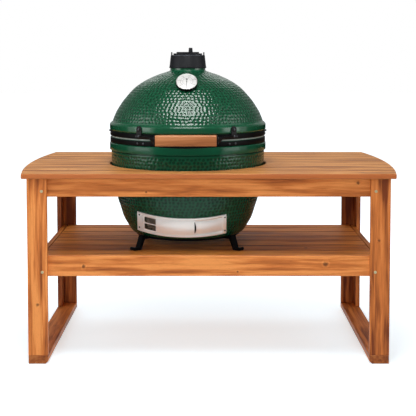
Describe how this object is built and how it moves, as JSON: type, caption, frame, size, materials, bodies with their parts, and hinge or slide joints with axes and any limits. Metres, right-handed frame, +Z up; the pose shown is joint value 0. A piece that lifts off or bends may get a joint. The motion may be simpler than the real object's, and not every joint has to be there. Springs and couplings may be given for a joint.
{
  "type": "kamado grill table",
  "caption": "Slatted hardwood table with a round cut-out and lower shelf, carrying a dimpled ceramic kamado grill with hinged dome, vent cap, thermometer and sliding draft door.",
  "frame": {"origin": "on the floor, in the middle of the footprint", "axes": "+X to the right along the table seen from the front, +Y to the rear, +Z up"},
  "size_m": [1.624, 0.94, 1.3207],
  "materials": {
    "top_wood": "oiled hardwood boards, knots and straight grain, satin",
    "frame_wood": "oiled hardwood, warm orange brown, satin",
    "shelf_wood": "oiled hardwood slats, darker, satin",
    "handle_wood": "fine grained hardwood, smooth",
    "green_glaze": "dimpled dark green glaze over ceramic, glossy",
    "fired_clay": "bare fired refractory clay, matt",
    "felt": "grey woven felt strip",
    "black_iron": "black coated cast iron, fine grained, satin",
    "black_steel": "black powder coated steel",
    "stainless": "brushed stainless steel",
    "dial_white": "white enamelled dial in a dark case"
  },
  "bodies": {
    "table_and_base": {"top_board_1": "top_wood", "top_board_2_left": "top_wood", "top_board_2_right": "top_wood", "top_board_3_left": "top_wood", "top_board_3_right": "top_wood", "top_board_4_left": "top_wood", "top_board_4_right": "top_wood", "top_board_5_left": "top_wood", "top_board_5_right": "top_wood", "top_board_6_left": "top_wood", "top_board_6_right": "top_wood", "top_board_7": "top_wood", "top_board_8": "top_wood", "leg_front_left": "frame_wood", "leg_front_right": "frame_wood", "leg_rear_left": "frame_wood", "leg_rear_right": "frame_wood", "runner_left": "frame_wood", "runner_right": "frame_wood", "apron_front": "frame_wood", "apron_rear": "frame_wood", "apron_left": "frame_wood", "apron_right": "frame_wood", "bearer_left": "frame_wood", "bearer_right": "frame_wood", "shelf_apron_front": "frame_wood", "shelf_apron_rear": "shelf_wood", "shelf_rail_left": "shelf_wood", "shelf_rail_right": "shelf_wood", "shelf_slat_1": "shelf_wood", "shelf_slat_2": "shelf_wood", "shelf_slat_3": "shelf_wood", "shelf_slat_4": "shelf_wood", "shelf_slat_5": "shelf_wood", "shelf_slat_6": "shelf_wood", "shelf_slat_7": "shelf_wood", "shelf_slat_8": "shelf_wood", "base_shell": "green_glaze", "fire_box": "fired_clay", "fire_ring": "fired_clay", "base_gasket": "felt", "charcoal_grate": "black_iron", "lower_band": "black_steel", "hinge_pin": "black_steel", "nest": "black_steel", "draft_frame": "stainless", "cooking_grid": "stainless"},
    "lid": {"dome_shell": "green_glaze", "dome_gasket": "felt", "upper_band": "black_steel", "handle_grip": "handle_wood", "handle_bracket_left": "black_steel", "handle_bracket_right": "black_steel", "thermometer_case": "dial_white", "vent_cap": "black_iron"},
    "cap_plate": {"cap_plate": "black_iron"},
    "daisy_disc": {"daisy_disc": "black_iron"},
    "pointer": {"thermometer_pointer": "black_iron"},
    "draft_door": {"draft_door": "stainless"},
    "draft_screen": {"draft_screen": "stainless"}
  },
  "joints": [
    {"name": "lid_hinge", "type": "hinge", "parent": "table_and_base", "child": "lid", "pos_m": [-0.095, 0.378, 0.9233], "axis": [-1, 0, 0], "range_deg": [0, 75]},
    {"name": "cap_hinge", "type": "hinge", "parent": "lid", "child": "cap_plate", "pos_m": [-0.095, 0.055, 1.2961], "axis": [-1, 0, 0], "range_deg": [0, 100]},
    {"name": "daisy_turn", "type": "hinge", "parent": "cap_plate", "child": "daisy_disc", "pos_m": [-0.095, -0.02, 1.3], "axis": [0, 0, 1], "range_deg": [-36, 36]},
    {"name": "pointer_turn", "type": "hinge", "parent": "lid", "child": "pointer", "pos_m": [-0.095, -0.235, 1.157], "axis": [0, 0.7071, -0.7071], "range_deg": [0, 300]},
    {"name": "draft_door_slide", "type": "hinge", "parent": "table_and_base", "child": "draft_door", "pos_m": [-0.095, -0.02, 0.61217], "axis": [0, -0.2079, 0.9781], "range_deg": [-12, 23]},
    {"name": "draft_screen_slide", "type": "hinge", "parent": "table_and_base", "child": "draft_screen", "pos_m": [-0.095, -0.02, 0.61217], "axis": [0, -0.2079, 0.9781], "range_deg": [0, 35]}
  ]
}
